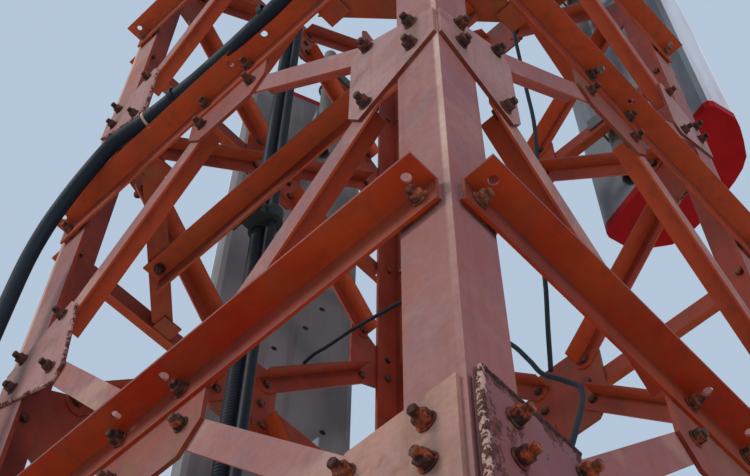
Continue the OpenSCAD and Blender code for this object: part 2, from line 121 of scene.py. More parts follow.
# the weathered paint
chalk_pink = (0.270, 0.098, 0.090)
chalk_rose = (0.330, 0.150, 0.138)
chalk_lilac = (0.205, 0.122, 0.142)
chalk_brick = (0.300, 0.082, 0.052)
chalk_cream = (0.440, 0.262, 0.205)
# painted light on the faces that face front or rear, and painted shade on the faces that face the sides
chalk_front_painted_light = (0.350, 0.215, 0.180)
chalk_side_painted_shade = (0.290, 0.088, 0.078)
chalk_run = (0.190, 0.062, 0.048)
chalk_grain = (0.215, 0.074, 0.060)
# pale bleached chalk with painted sunlight, creamier low on the tower
bleached_and_painted_sun_low = (0.560, 0.325, 0.240)
bleached_and_painted_sun_high = (0.420, 0.265, 0.255)
mauve_shade = (0.130, 0.046, 0.060)
# a painted highlight along the heel of a leg
painted_heel_highlight = (0.640, 0.440, 0.360)

# the paint that the weather has not reached
deep_red = (0.340, 0.020, 0.002)
deep_orange = (0.430, 0.050, 0.006)
deep_faded = (0.500, 0.080, 0.020)
edge_brown = (0.085, 0.014, 0.008)
# the sheltered paint of the inner faces, darkened with painted shade
painted_shade_inside_brown = (0.130, 0.012, 0.006)
painted_shade_inside_red = (0.250, 0.030, 0.010)
painted_shade_inside_faded = (0.330, 0.040, 0.012)
sheltered_run = (0.095, 0.018, 0.012)

# what lies on the paint or shows through it
dirt_brown = (0.110, 0.042, 0.026)
rust_brown = (0.060, 0.018, 0.010)
bolt_stain_brown = (0.125, 0.085, 0.062)
moss_green = (0.115, 0.090, 0.030)
bare_dark = (0.050, 0.014, 0.010)
bare_rust = (0.150, 0.036, 0.018)
rim_brown = (0.050, 0.016, 0.012)


class Finish:
    """A material built node by node, with patterns that lie in the model's own metres."""

    def __init__(self, name, specular):
        self.material = bpy.data.materials.new(name)
        self.material.use_nodes = True
        self.tree = self.material.node_tree
        self.shader = self.tree.nodes["Principled BSDF"]
        self.shader.inputs["Specular IOR Level"].default_value = specular
        self.place = self.add("TexCoord").outputs["Object"]

    def feed(self, socket, value):
        """Links a socket to an input, or sets the input to a plain value."""
        if isinstance(value, bpy.types.NodeSocket):
            self.tree.links.new(value, socket)
        else:
            socket.default_value = value

    def add(self, kind, settings=None, inputs=None):
        """A node, with its inputs given by name or by number."""
        node = self.tree.nodes.new("ShaderNode" + kind)
        for key, value in (settings or {}).items():
            setattr(node, key, value)
        for key, value in (inputs or {}).items():
            self.feed(node.inputs[key], value)
        return node

    def parts(self, vector):
        """The x, y and z of a vector."""
        return self.add("SeparateXYZ", inputs={0: vector}).outputs

    def maths(self, operation, one, other=0.0):
        return self.add("Math", {"operation": operation}, {0: one, 1: other}).outputs[0]

    def times(self, one, other):
        return self.maths("MULTIPLY", one, other)

    def plus(self, one, other):
        return self.maths("ADD", one, other)

    def minus(self, one, other):
        return self.maths("SUBTRACT", one, other)

    def least(self, one, other):
        return self.maths("MINIMUM", one, other)

    def most(self, one, other):
        return self.maths("MAXIMUM", one, other)

    def size_of(self, value):
        return self.maths("ABSOLUTE", value)

    def ramp(self, value, low, high):
        """A smooth step from 0 at low to 1 at high."""
        limits = {0: value, 1: low, 2: high}
        return self.add("MapRange", {"interpolation_type": "SMOOTHSTEP"}, limits).outputs[0]

    def span(self, share, low, high):
        """An even step from low, where share is 0, to high, where it is 1."""
        return self.add("MapRange", inputs={0: share, 3: low, 4: high}).outputs[0]

    def noise(self, scale, at, detail, roughness):
        moved = self.add("Mapping", inputs={0: self.place, "Location": at, "Scale": scale})
        settings = {"Vector": moved.outputs[0], "Scale": 1.0, "Detail": detail, "Roughness": roughness}
        return self.add("TexNoise", inputs=settings).outputs[0]

    def patches(self, size, low, high, detail=5.0, roughness=0.6, stretch=(1, 1, 1), at=(0, 0, 0)):
        """Cloudy patches about size metres across: 0 where the noise is below low, 1 above high."""
        return self.ramp(self.noise([s / size for s in stretch], at, detail, roughness), low, high)

    def blend(self, share, one, other):
        """Colour one where share is 0, and the other where it is 1."""
        mixer = self.add("Mix", {"data_type": "RGBA"}, {0: share})
        for socket, colour in ((6, one), (7, other)):
            plain = not isinstance(colour, bpy.types.NodeSocket)
            self.feed(mixer.inputs[socket], (*colour, 1) if plain else colour)
        return mixer.outputs[2]

    def done(self, colour, roughness, heights):
        """Feeds the shader. The heights are pairs of a pattern and its depth in metres."""
        self.feed(self.shader.inputs["Base Color"], colour)
        self.feed(self.shader.inputs["Roughness"], roughness)
        normal = None
        for height, depth in heights:
            bump = self.add("Bump", inputs={"Height": height, "Strength": 1.0, "Distance": depth})
            if normal is not None:
                self.feed(bump.inputs["Normal"], normal)
            normal = bump.outputs[0]
        self.feed(self.shader.inputs["Normal"], normal)
        return self.material


class OldPaint(Finish):
    """The lattice's paint: chalk where sun and rain reach it, and redder below and inside."""

    def __init__(self, name, upright):
        super().__init__(name, 0.22)
        self.x, self.y, self.z = self.parts(self.place)
        self.cloud = self.patches(0.35, 0.38, 0.66)
        self.grain = self.patches(0.012, 0.3, 0.7, detail=3.0)
        self.runs = self.patches(0.05, 0.46, 0.72, stretch=(1.6, 1.6, 0.09), at=(2, 5, 0))

        # how far a surface faces away from the tower's axis, up, and to the front or the rear; the last sets
        # painted light on the front and rear faces and painted shade on the sides
        seat = self.add("NewGeometry")
        normal = seat.outputs["True Normal"]
        level = self.add("VectorMath", {"operation": "MULTIPLY"}, {0: seat.outputs["Position"], 1: (1, 1, 0)})
        outward = self.add("VectorMath", {"operation": "NORMALIZE"}, {0: level.outputs[0]})
        away = self.add("VectorMath", {"operation": "DOT_PRODUCT"}, {0: outward.outputs[0], 1: normal})
        _, frontwards, up = self.parts(normal)
        self.front = self.size_of(frontwards)
        self.under = self.ramp(up, -0.25, -0.75)
        outer = self.ramp(away.outputs["Value"], 0.15, 0.55)
        if upright < 1.0:
            bare = self.patches(0.50, 0.45, 0.70, at=(8, 2, 2))
            outer = self.times(outer, self.plus(upright * 0.35, self.times(bare, upright)))
        open_air = self.most(outer, self.ramp(up, 0.2, 0.8))
        self.weather = self.times(open_air, self.minus(1.0, self.under))

    def bolt_column(self):
        """1 along the upright lines of the leg bolts, on every face."""
        line = tower_half - leg_bolt
        off = [self.size_of(self.minus(self.size_of(side), line)) for side in (self.x, self.y)]
        return self.ramp(self.least(*off), 0.026, 0.010)

    def chalk(self, pale, mauve, heel, cloudy):
        """Weathered paint: pink, with lilac, brick and cream clouds, and faint runs; paler on the faces that
        face front or rear, as painted light, and redder on the faces that face the sides, as painted shade.
        """
        lilac = self.patches(0.085, 0.44, 0.62, detail=4.0, at=(6, 2, 8))
        brick = self.patches(0.060, 0.50, 0.66, detail=4.0, stretch=(1, 1, 0.5), at=(1, 6, 6))
        cream = self.patches(0.26, 0.48, 0.62, detail=4.0, at=(7, 3, 1))
        chalk = self.blend(self.cloud, chalk_pink, chalk_rose)
        chalk = self.blend(self.times(lilac, 0.65), chalk, chalk_lilac)
        chalk = self.blend(self.times(brick, 0.50), chalk, chalk_brick)
        chalk = self.blend(self.times(cream, cloudy), chalk, chalk_cream)
        # painted light on the faces that face front or rear, and a redder painted shade on the side faces
        chalk = self.blend(self.times(self.front, 0.25), chalk, chalk_front_painted_light)
        chalk = self.blend(self.ramp(self.front, 0.5, 0.1), chalk, self.blend(0.35, chalk, chalk_side_painted_shade))
        # bleached chalk with painted sunlight: a pale cream, creamier low on the tower
        if pale:
            bleached_and_painted_sun = self.blend(self.ramp(self.z, 3.1, 3.9), bleached_and_painted_sun_low, bleached_and_painted_sun_high)
            share = self.plus(pale * 0.6, self.times(self.cloud, pale * 0.4))
            chalk = self.blend(share, chalk, bleached_and_painted_sun)
        if mauve:
            chalk = self.blend(mauve, chalk, mauve_shade)
        # a painted highlight along the leg's heel
        if heel:
            chalk = self.blend(self.times(self.painted_heel_highlight_line(), heel), chalk, painted_heel_highlight)
        chalk = self.blend(self.times(self.runs, 0.30), chalk, chalk_run)
        return self.blend(self.times(self.grain, 0.18), chalk, chalk_grain)

    def painted_heel_highlight_line(self):
        """1 along the heel of a leg, on the front and rear faces, and less where it is low: the mask of a
        painted highlight.
        """
        across = self.ramp(self.size_of(self.x), tower_half - 0.015, tower_half - 0.008)
        deep_in = self.ramp(self.size_of(self.y), tower_half - 0.0020, tower_half - 0.0005)
        cloudy = self.plus(0.55, self.times(self.cloud, 0.45))
        high = self.plus(0.12, self.times(self.ramp(self.z, 3.0, 3.7), 0.88))
        return self.times(self.times(self.times(across, deep_in), cloudy), high)

    def sheltered(self, dark_edges):
        """Paint that the weather has not reached: orange-red below, and red-brown inside, darkened there as
        painted shade.
        """
        faded = self.times(self.ramp(self.z, 3.7, 4.6), 0.60)
        deep = self.blend(self.patches(0.45, 0.35, 0.65, at=(1, 8, 4)), deep_red, deep_orange)
        deep = self.blend(faded, deep, deep_faded)
        if dark_edges:
            deep = self.blend(dark_edges, deep, edge_brown)
        # the inner faces: sheltered paint darkened with painted shade
        inside = self.blend(self.patches(0.30, 0.35, 0.65, at=(5, 1, 9)), painted_shade_inside_brown, painted_shade_inside_red)
        inside = self.blend(self.times(faded, 0.4), inside, painted_shade_inside_faded)
        sheltered = self.blend(self.under, inside, deep)
        return self.blend(self.times(self.runs, 0.30), sheltered, sheltered_run)

    def flaked(self, paint):
        """Paint that flakes off the splice plates, most at their edges and bolts, and the flakes."""
        across = self.least(self.size_of(self.x), self.size_of(self.y))
        from_side = self.minus(splice_side, across)
        from_end = self.minus(splice_half, self.size_of(self.minus(self.z, splice_z)))
        margin = self.ramp(self.least(from_side, from_end), 0.045, 0.004)
        margin = self.most(margin, self.times(self.bolt_column(), 0.5))
        ragged = self.noise((45, 45, 36), (6, 6, 1), detail=8.0, roughness=0.72)
        flakes = self.ramp(self.plus(ragged, self.times(margin, 0.17)), 0.635, 0.655)
        bare = self.blend(self.patches(0.02, 0.4, 0.6), bare_dark, bare_rust)
        paint = self.blend(self.times(flakes, 0.9), paint, bare)
        rim = self.times(self.ramp(from_side, 0.010, 0.002), 0.6)
        return self.blend(rim, paint, rim_brown), flakes


def old_paint(name, stains=0.5, moss=0.0, flaking=False, pale=0.0, upright=1.0, heel=0.0, bolt_stain=0.0,
              mauve=0.0, dark_edges=0.0, cloudy=0.45):
    """The paint of one kind of bar or plate. The numbers are shares: of dirt and rust, of moss, of
    bleached chalk with painted sunlight, of the upright faces that have weathered, of the painted
    highlight along a leg's heel, of stains under the bolts, of mauve, of brown on the undersides, and
    of cream clouds."""
    coat = OldPaint(name, upright)
    paint = coat.blend(coat.weather, coat.sheltered(dark_edges), coat.chalk(pale, mauve, heel, cloudy))
    dirt = coat.patches(0.09, 0.56, 0.74, detail=8.0, roughness=0.7, at=(3, 3, 3))
    paint = coat.blend(coat.times(dirt, 0.55 * stains), paint, dirt_brown)
    rust = coat.patches(0.030, 0.66, 0.72, detail=9.0, roughness=0.75, at=(9, 2, 6))
    paint = coat.blend(coat.times(rust, 0.85 * stains), paint, rust_brown)
    if bolt_stain:
        column = coat.times(coat.bolt_column(), coat.patches(0.07, 0.34, 0.60, at=(1, 1, 5)))
        paint = coat.blend(coat.times(column, bolt_stain), paint, bolt_stain_brown)
    if moss:
        green = coat.patches(0.10, 0.46, 0.66, detail=7.0, at=(4, 9, 2))
        paint = coat.blend(coat.times(green, moss), paint, moss_green)
    heights = [(coat.patches(0.16, 0.2, 0.8, detail=2.0), 0.0012), (coat.grain, 0.0002), (dirt, 0.0003)]
    if flaking:
        paint, flakes = coat.flaked(paint)
        heights.append((coat.minus(1.0, flakes), 0.0008))
    roughness = coat.plus(coat.span(coat.weather, 0.52, 0.80), coat.times(coat.grain, 0.08))
    return coat.done(paint, roughness, heights)


def finish_nodes(material, *names):
    """Gives CAD nodes their finish."""
    for name in names:
        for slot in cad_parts[name].material_slots:
            slot.link = "OBJECT"
            slot.material = material


def on_each_face(kind):
    """The names of one kind of node on the four faces."""
    return [face + "_" + kind for face in faces]


bar_paint = old_paint("old_bar_paint", stains=0.5, cloudy=0.8)
finish_nodes(bar_paint, "feet", "packing_plates", *on_each_face("diagonals"))
# the legs get a painted highlight along the heel
leg_paint = old_paint("old_leg_paint", stains=0.4, heel=0.8, mauve=0.08)
finish_nodes(leg_paint, "leg_front_right", "leg_front_left", "leg_rear_right", "leg_rear_left")
feeder_bar_paint = old_paint("sheltered_bar_paint", stains=0.9, moss=0.15, upright=0.15)
finish_nodes(feeder_bar_paint, "feeder_bars")
brace_paint = old_paint("dark_brace_paint", stains=1.0, moss=0.35, upright=0.12, dark_edges=0.35)
finish_nodes(brace_paint, "corner_braces", "brace_cleats")
# the gussets are pale: bleached chalk with painted sunlight
gusset_paint = old_paint("old_plate_paint", stains=0.9, moss=0.2, pale=0.5, bolt_stain=0.55, dark_edges=0.75)
finish_nodes(gusset_paint, *on_each_face("gussets"))
centre_paint = old_paint("old_centre_paint", stains=1.1, moss=0.3, upright=0.8, mauve=0.25, dark_edges=0.6)
finish_nodes(centre_paint, *on_each_face("centre_plates"))
horizontal_paint = old_paint("old_horizontal_paint", stains=0.7, moss=0.15, upright=0.18)
finish_nodes(horizontal_paint, *on_each_face("horizontals"))
splice_paint = old_paint("flaking_splice_paint", stains=0.8, flaking=True, mauve=0.6, dark_edges=0.8)
finish_nodes(splice_paint, "splice_plates")


# The bolts: M16 in galvanised steel gone to rust, put in from inside with the nut outside. They
# hold every bar and plate, and their long threaded tails stand out past the nuts.

def ring_skin(rings, sides, hollow=False):
    """Faces between rings of points. The ends are closed, or join each other when it is hollow."""
    skin = []
    for k in range(rings if hollow else rings - 1):
        here, there = k * sides, (k + 1) % rings * sides
        for s in range(sides):
            after = (s + 1) % sides
            skin.append((here + s, here + after, there + after, there + s))
    if not hollow:
        skin.append(tuple(range(sides - 1, -1, -1)))
        skin.append(tuple((rings - 1) * sides + s for s in range(sides)))
    return skin


def turned(profile, sides, hollow=False):
    """A turned solid on +Z, from (radius, height) pairs. A hollow one is a ring round the axis."""
    angles = [2 * math.pi * s / sides for s in range(sides)]
    points = [(r * math.cos(angle), r * math.sin(angle), z) for r, z in profile for angle in angles]
    return points, ring_skin(len(profile), sides, hollow)


def gather(name, solids, material, smooth_degrees=35.0):
    """One object from many solids, each (points, faces, where it goes)."""
    points, skin = [], []
    for solid_points, solid_skin, spot in solids:
        start = len(points)
        points.extend(spot @ Vector(p) for p in solid_points)
        skin.extend(tuple(start + i for i in face) for face in solid_skin)
    mesh = bpy.data.meshes.new(name)
    mesh.from_pydata(points, [], skin)
    mesh.materials.append(material)
    piece = bpy.data.objects.new(name, mesh)
    bpy.context.scene.collection.objects.link(piece)
    mesh.shade_smooth()
    mesh.set_sharp_from_angle(angle=math.radians(smooth_degrees))
    return piece


crust_black = (0.022, 0.008, 0.006)
bolt_green = (0.14, 0.12, 0.06)
far_bolt_brown = (0.050, 0.024, 0.020)


def rusty_steel(name, light, dark, green=0.0, darker_above=0.0):
    """Rusty steel with shares of green growth and of a darker brown high on the tower."""
    steel = Finish(name, 0.25)
    crust = steel.patches(0.006, 0.40, 0.62, detail=6.0)
    colour = steel.blend(steel.patches(0.022, 0.45, 0.58, detail=2.0), dark, light)
    if darker_above:
        high_up = steel.ramp(steel.parts(steel.place)[2], 3.1, 3.9)
        colour = steel.blend(steel.times(high_up, darker_above), colour, far_bolt_brown)
    colour = steel.blend(steel.times(crust, 0.60), colour, crust_black)
    if green:
        growth = steel.patches(0.02, 0.5, 0.6)
        colour = steel.blend(steel.times(growth, green), colour, bolt_green)
    return steel.done(colour, steel.span(crust, 0.62, 0.92), [(crust, 0.0006)])


bolt_rust = rusty_steel("rusty_bolt_steel", (0.350, 0.062, 0.016), (0.052, 0.015, 0.012), green=0.25,
                        darker_above=0.65)
bolt_paint = rusty_steel("painted_bolt_steel", (0.340, 0.085, 0.035), (0.130, 0.034, 0.020), green=0.15)
bolt_r = 0.008
nut_r = 0.0130
nut_flat = 0.866
nut_low = 0.0030
nut_high = 0.0165
washer_profile = ((0.0150, 0.0), (0.0155, 0.0008), (0.0155, 0.0024), (0.0148, 0.0032))
thread_low = 0.0168
thread_step = 0.002
chance = random.Random(16)


def swollen_nut():
    """A hexagon with rusty lumps. Every other point of a ring is the middle of a flat."""
    middle = (nut_low + nut_high) / 2
    profile = ((nut_r * 0.90, nut_low), (nut_r, nut_low + 0.0015), (nut_r, middle),
               (nut_r, nut_high - 0.0020), (nut_r * 0.86, nut_high))
    points, skin = turned(profile, 12)
    lumpy = []
    for number, (x, y, z) in enumerate(points):
        flat = (nut_flat if number % 2 else 1.0) * chance.uniform(0.95, 1.06)
        lumpy.append((x * flat, y * flat, z + chance.uniform(-0.0005, 0.0005)))
    return lumpy, skin


def bolt(spot, grip, tail):
    """A bolt whose washer and nut sit on the plane z = 0 of its spot, with its head grip metres below."""
    tilt = Matrix.Rotation(chance.uniform(0, math.pi / 3), 4, "Z")
    nut = swollen_nut()
    washer = turned(washer_profile, 18)
    turns = int(tail / thread_step)
    thread = [(bolt_r * 0.98, thread_low - 0.0008)]
    for k in range(turns):
        z = thread_low + k * thread_step
        thread += [(bolt_r * 1.03, z), (bolt_r * 0.86, z + thread_step / 2)]
    thread.append((bolt_r * 0.80, thread_low + turns * thread_step))
    head = turned(((nut_r * 0.88, -grip - 0.0105), (nut_r, -grip - 0.0090), (nut_r, -grip - 0.0002)), 6)
    return [(*nut, spot @ tilt), (*washer, spot), (*turned(thread, 9), spot), (*head, spot @ tilt.inverted())]


# the layers outside the legs, and the level of the horizontals' tops above mid bay
plate = 0.008
splice_plate = 0.012
horizontal_bar = 0.006
rise = 0.030

# heights of the leg bolts from a joint, and of the horizontals' bolts from mid bay
leg_heights = (-0.040, 0.064)
right_leg_heights = (-0.022, 0.064)
splice_heights = (-0.130, -0.058, 0.058, 0.130)
horizontal_height = rise - 0.031

# the diagonals' bolts in the gussets: in from the heel, and up or down from the joint. The front
# face's left gusset at the fourth joint has a wider lower end.
diagonal_bolt = (0.172, 0.128)
splice_diagonal_bolt = (0.186, 0.140)
wide_gusset_bolt = (0.202, 0.097)
wide_joint = 3

# in the centre plates: beside the face's middle, and up or down from mid bay
centre_bolt = (0.084, 0.091)

# the horizontals' bolts: beside the face's middle, and in from the heel
middle_bolt = 0.075
end_bolt = 0.048

leg_grip = 0.018
diagonal_grip = 0.013
middle_grip = 0.014
end_grip = 0.024
joints = 7


def bolt_row(face):
    """Each bolt of a face: side, distance in from the heel, height, how far out, grip, painted."""
    row = []
    plate_face = tower_half + plate
    bar_face = plate_face + horizontal_bar
    for joint in range(joints):
        spliced = joint == splice_joint
        joint_z = joint_0 + joint * bay
        heights = right_leg_heights if face == "right" else leg_heights
        if spliced:
            heights = splice_heights
        for side in (-1, 1):
            over = splice_plate if spliced and side < 0 else 0.0
            out = plate_face + over
            for height in heights:
                row.append((side, leg_bolt, joint_z + height, out, leg_grip + over, False))
            for way in (-1, 1):
                if joint + way in (-1, joints):
                    continue
                inwards, height = splice_diagonal_bolt if spliced else diagonal_bolt
                if face == "front" and side < 0 and joint == wide_joint and way < 0:
                    inwards, height = wide_gusset_bolt
                row.append((side, inwards, joint_z + way * height, out, diagonal_grip + over, False))
    for level in range(joints - 1):
        middle = joint_0 + (level + 0.5) * bay
        bolt_z = middle + horizontal_height
        beside, height = centre_bolt
        inwards = tower_half - beside
        for side in (-1, 1):
            for way in (-1, 1):
                row.append((side, inwards, middle + way * height, plate_face, diagonal_grip, False))
            row.append((side, tower_half - middle_bolt, bolt_z, bar_face, middle_grip, False))
            row.append((side, end_bolt, bolt_z, bar_face, end_grip, True))
    return row


face_turns = [Matrix.Rotation(number * math.pi / 2, 4, "Z") for number in range(4)]
for face, turn in zip(faces, face_turns):
    rusty, painted = [], []
    for side, inwards, z, out, grip, is_painted in bolt_row(face):
        place = Matrix.Translation((side * (tower_half - inwards), -out, z))
        spot = turn @ place @ Matrix.Rotation(math.pi / 2, 4, "X")
        tail = chance.uniform(0.007, 0.015)
        (painted if is_painted else rusty).extend(bolt(spot, grip, tail))
    for kind, solids, finish in (("_bolts", rusty, bolt_rust), ("_end_bolts", painted, bolt_paint)):
        bolts = gather(face + kind, solids, finish)
        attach(bolts, "root")

# One bolt through each crossing of a feeder bar and a corner brace, with its nut below. The drop
# is from the horizontals' tops to the underside of the feeder bar's level flange.
crossings = ((-0.494, -0.427), (0.536, -0.427))
bar_drop = 0.060
brace_grip = 0.011
hanging_bolts = []
for level in (1, 3, 5):
    under_bar = joint_0 + (level + 0.5) * bay + rise - bar_drop
    for x, y in crossings:
        spot = Matrix.Translation((x, y, under_bar)) @ Matrix.Rotation(math.pi, 4, "X")
        tail = chance.uniform(0.009, 0.014)
        hanging_bolts += bolt(spot, brace_grip, tail)
brace_bolts = gather("brace_bolts", hanging_bolts, bolt_rust)
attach(brace_bolts, "root")


# The feeder cables: corrugated copper feeders in black jackets that climb inside the tower,
# held by strap clamps on brown arms at every second horizontal.

jacket_film = (0.060, 0.066, 0.066)
jacket_dust = (0.12, 0.10, 0.085)


def black_jacket(name, colour=(0.006, 0.010, 0.017), shine=0.45, dust=0.22):
    """Weathered polyethylene, with a share of grey film and dust. Shine is its least roughness."""
    jacket = Finish(name, 0.22)
    film = jacket.patches(0.12, 0.45, 0.75, stretch=(1, 1, 0.25))
    speck = jacket.patches(0.008, 0.50, 0.70, detail=4.0, at=(3, 1, 2))
    tint = jacket.blend(jacket.times(film, dust), colour, jacket_film)
    tint = jacket.blend(jacket.times(speck, 0.25 * dust), tint, jacket_dust)
    return jacket.done(tint, jacket.span(film, shine, shine + 0.25), [(speck, 0.0002)])


feeder_jacket = black_jacket("feeder_jacket")


def ribbed_feeder(name, node, pitch, sides, groove):
    """A corrugated cable in place of a plain CAD cylinder. The groove is a share of the radius, and
    each pitch has a narrow valley and a broad flat crest."""
    low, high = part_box(node)
    centre = (low + high) / 2
    crest = (high.x - low.x) / 2
    valley = crest * (1 - groove)
    rings = [(valley, low.z)]
    for k in range(int((high.z - low.z) / pitch)):
        z = low.z + k * pitch
        rings += [(valley, z + pitch * 0.12), (crest, z + pitch * 0.42), (crest, z + pitch * 0.78)]
    rings.append((valley, high.z))
    upright = Matrix.Translation((centre.x, centre.y, 0))
    feeder = gather(name, [(*turned(rings, sides), upright)], feeder_jacket, 60.0)
    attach(feeder, "root")
    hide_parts(node)


ribbed_feeder("ribbed_thick_feeder", "thick_feeder", 0.0100, 20, 0.12)
ribbed_feeder("ribbed_thin_feeder", "thin_feeder", 0.0075, 16, 0.08)
finish_nodes(black_jacket("clamp_rubber", (0.020, 0.026, 0.022), 0.50), "feeder_clamps")
finish_nodes(rusty_steel("brown_arm_steel", (0.120, 0.048, 0.022), (0.050, 0.022, 0.014)), "feeder_arms")


# The smooth cables: a thick one that is clipped to the right leg and to a horizontal of the front
# face and falls past its toe, and two thin jumpers that hang from the antennas into the tower. They
# have plain black jackets, and keep within 12 millimetres of the routes of the solids they replace.

def smooth_curve(points, steps=5):
    """More points, on a smooth curve through the given ones."""
    points = [Vector(p) for p in points]
    ways = []
    for k in range(len(points)):
        near = [(points[m + 1] - points[m]) for m in (k - 1, k) if 0 <= m < len(points) - 1]
        ways.append(sum((step / step.length_squared for step in near), Vector()).normalized())
    curve = []
    for k in range(len(points) - 1):
        reach = (points[k + 1] - points[k]).length
        for step in range(steps):
            t = step / steps
            start = points[k] * (2 * t ** 3 - 3 * t ** 2 + 1) + ways[k] * reach * (t ** 3 - 2 * t ** 2 + t)
            end = points[k + 1] * (3 * t ** 2 - 2 * t ** 3) + ways[k + 1] * reach * (t ** 3 - t ** 2)
            curve.append(start + end)
    return curve + [points[-1]]


def round_cable(curve, radius, sides):
    """A round tube along a curve, with closed ends."""
    way = (curve[1] - curve[0]).normalized()
    across = way.orthogonal().normalized()
    points = []
    for k, spot in enumerate(curve):
        new_way = (curve[min(k + 1, len(curve) - 1)] - curve[max(k - 1, 0)]).normalized()
        across = way.rotation_difference(new_way) @ across
        across = (across - new_way * across.dot(new_way)).normalized()
        way = new_way
        other = way.cross(across)
        for side in range(sides):
            angle = 2 * math.pi * side / sides
            points.append(spot + (across * math.cos(angle) + other * math.sin(angle)) * radius)
    return points, ring_skin(len(curve), sides), Matrix.Identity(4)


smooth_jacket = black_jacket("smooth_cable_jacket", (0.004, 0.010, 0.018), 0.60, 0.10)
outer_r = 0.020

# it comes down at leg_x, lies on the fourth horizontal at bar_y and bar_z, and falls at fall_x and fall_y
fourth_top = joint_0 + 3.5 * bay + rise
cable_gap = 0.0003
leg_x = 0.650
bar_y = -0.713
bar_z = fourth_top + outer_r + cable_gap
fall_x = -0.588
fall_y = -0.733
bend_r = 0.180
outer_top = 7.800
outer_foot = 0.120
outer_route = [(leg_x, bar_y, outer_top), (leg_x, bar_y, bar_z + bend_r)]
for degrees in range(-15, -91, -15):
    angle = math.radians(degrees)
    bend_x = leg_x - bend_r + bend_r * math.cos(angle)
    outer_route.append((bend_x, bar_y, bar_z + bend_r + bend_r * math.sin(angle)))

# where it leaves the bar: the distance from fall_x, the share of the way to fall_y, and the drop
for along_bar, share, drop in ((0.400, 0, 0), (0.340, 0.27, 0), (0.290, 0.68, 0.002), (0.245, 0.95, 0.009),
                               (0.205, 1, 0.026), (0.165, 1, 0.050), (0.125, 1, 0.080), (0.088, 1, 0.120),
                               (0.052, 1, 0.170), (0.028, 1, 0.228), (0.012, 1, 0.292), (0.004, 1, 0.360),
                               (0, 1, 0.440)):
    outer_route.append((fall_x + along_bar, bar_y + share * (fall_y - bar_y), bar_z - drop))
outer_route.append((fall_x, fall_y, outer_foot))
outer_curve = smooth_curve(outer_route)
outer_cable = gather("smooth_outer_cable", [round_cable(outer_curve, outer_r, 20)], smooth_jacket, 60.0)
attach(outer_cable, "root")
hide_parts("outer_feeder")
finish_nodes(smooth_jacket, "feeder_clips")

# the jumpers' heights are counted from the fourth horizontals' tops and from the rear antenna's foot
jumper_r = 0.006
rear_foot = 5.790
left_jumper = [(x, y, fourth_top + z) for x, y, z in (
    (-0.8856, 0.4405, 0.758), (-0.820, 0.420, 0.722),
    (-0.730, 0.395, 0.655), (-0.650, 0.372, 0.600), (-0.573, 0.350, 0.548), (-0.480, 0.325, 0.480),
    (-0.390, 0.302, 0.413), (-0.293, 0.280, 0.345), (-0.200, 0.262, 0.250), (-0.120, 0.250, 0.130),
    (-0.050, 0.242, 0.000), (0.030, 0.250, -0.150), (0.109, 0.247, -0.290), (0.170, 0.222, -0.440),
    (0.222, 0.195, -0.570), (0.262, 0.185, -0.630), (0.300, 0.170, -0.695), (0.335, 0.142, -0.765),
    (0.355, 0.112, -0.840), (0.375, 0.065, -0.940), (0.388, 0.015, -1.050), (0.397, -0.052, -1.207),
    (0.415, -0.140, -1.360), (0.450, -0.260, -1.530), (0.505, -0.390, -1.710), (0.560, -0.500, -1.890),
    (0.603, -0.580, -2.070), (0.6237, -0.6237, -2.260), (0.6237, -0.6237, -4.570))]
rear_jumper = [(x, y, rear_foot + z) for x, y, z in (
    (0.4006, 0.827, 0.380), (0.386, 0.772, 0.378),
    (0.382, 0.700, 0.370), (0.381, 0.640, 0.366), (0.379, 0.560, 0.372), (0.376, 0.470, 0.392),
    (0.372, 0.380, 0.408), (0.366, 0.300, 0.400), (0.360, 0.230, 0.362), (0.355, 0.180, 0.290),
    (0.351, 0.158, 0.200), (0.350, 0.150, 0.100), (0.349, 0.150, -0.010), (0.350, 0.150, -0.137),
    (0.351, 0.150, -0.362))]
rear_jumper += [(x, y, fourth_top + z) for x, y, z in (
    (0.351, 0.150, 0.428), (0.322, 0.168, 0.250), (0.284, 0.188, 0.070), (0.264, 0.196, -0.261),
    (0.250, 0.197, -0.410), (0.238, 0.197, -0.565))]
jumper_tubes = [round_cable(smooth_curve(route), jumper_r, 12) for route in (left_jumper, rear_jumper)]
jumpers = gather("smooth_jumper_cables", jumper_tubes, smooth_jacket, 60.0)
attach(jumpers, "root")
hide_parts("jumper_cables")


# A pale plastic tie round the thick cable, where it lies on the horizontal: a thin band, and the
# square head that its tail is pulled through.

def along(place, way):
    """Where a turned solid goes so that its +Z lies along a direction."""
    return Matrix.Translation(place) @ Vector(way).to_track_quat("Z", "Y").to_matrix().to_4x4()


tie_plastic = black_jacket("pale_tie_plastic", (0.420, 0.300, 0.230), 0.60, 0.2)
tie_x = -0.237
band_in = outer_r - 0.0002
band_out = outer_r + 0.0022
head_turn = -2.0
head_out = outer_r + 0.0045
nearest = min(range(len(outer_curve)),
              key=lambda k: abs(outer_curve[k].x - tie_x) + abs(outer_curve[k].z - bar_z))
tie_spot = along(outer_curve[nearest], outer_curve[nearest + 1] - outer_curve[nearest - 1])
band_profile = ((band_in, -0.0035), (band_out, -0.0032), (band_out, 0.0032), (band_in, 0.0035))
tie_band = turned(band_profile, 24, hollow=True)
tie_head = turned(((0.0040, -0.0045), (0.0050, -0.0035), (0.0050, 0.0035), (0.0040, 0.0045)), 4)
head_spot = tie_spot @ Matrix.Rotation(head_turn, 4, "Z") @ Matrix.Translation((head_out, 0, 0))
tie = gather("outer_cable_tie", [(*tie_band, tie_spot), (*tie_head, head_spot)], tie_plastic)
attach(tie, "root")


# The peeling edges: old paint that has swollen and peels in curls over rust. It is thick on the
# splice plates, pale down the side where the sun reaches it and dark along the top, and thin on the
# front and rear gussets of the fourth and fifth joints.

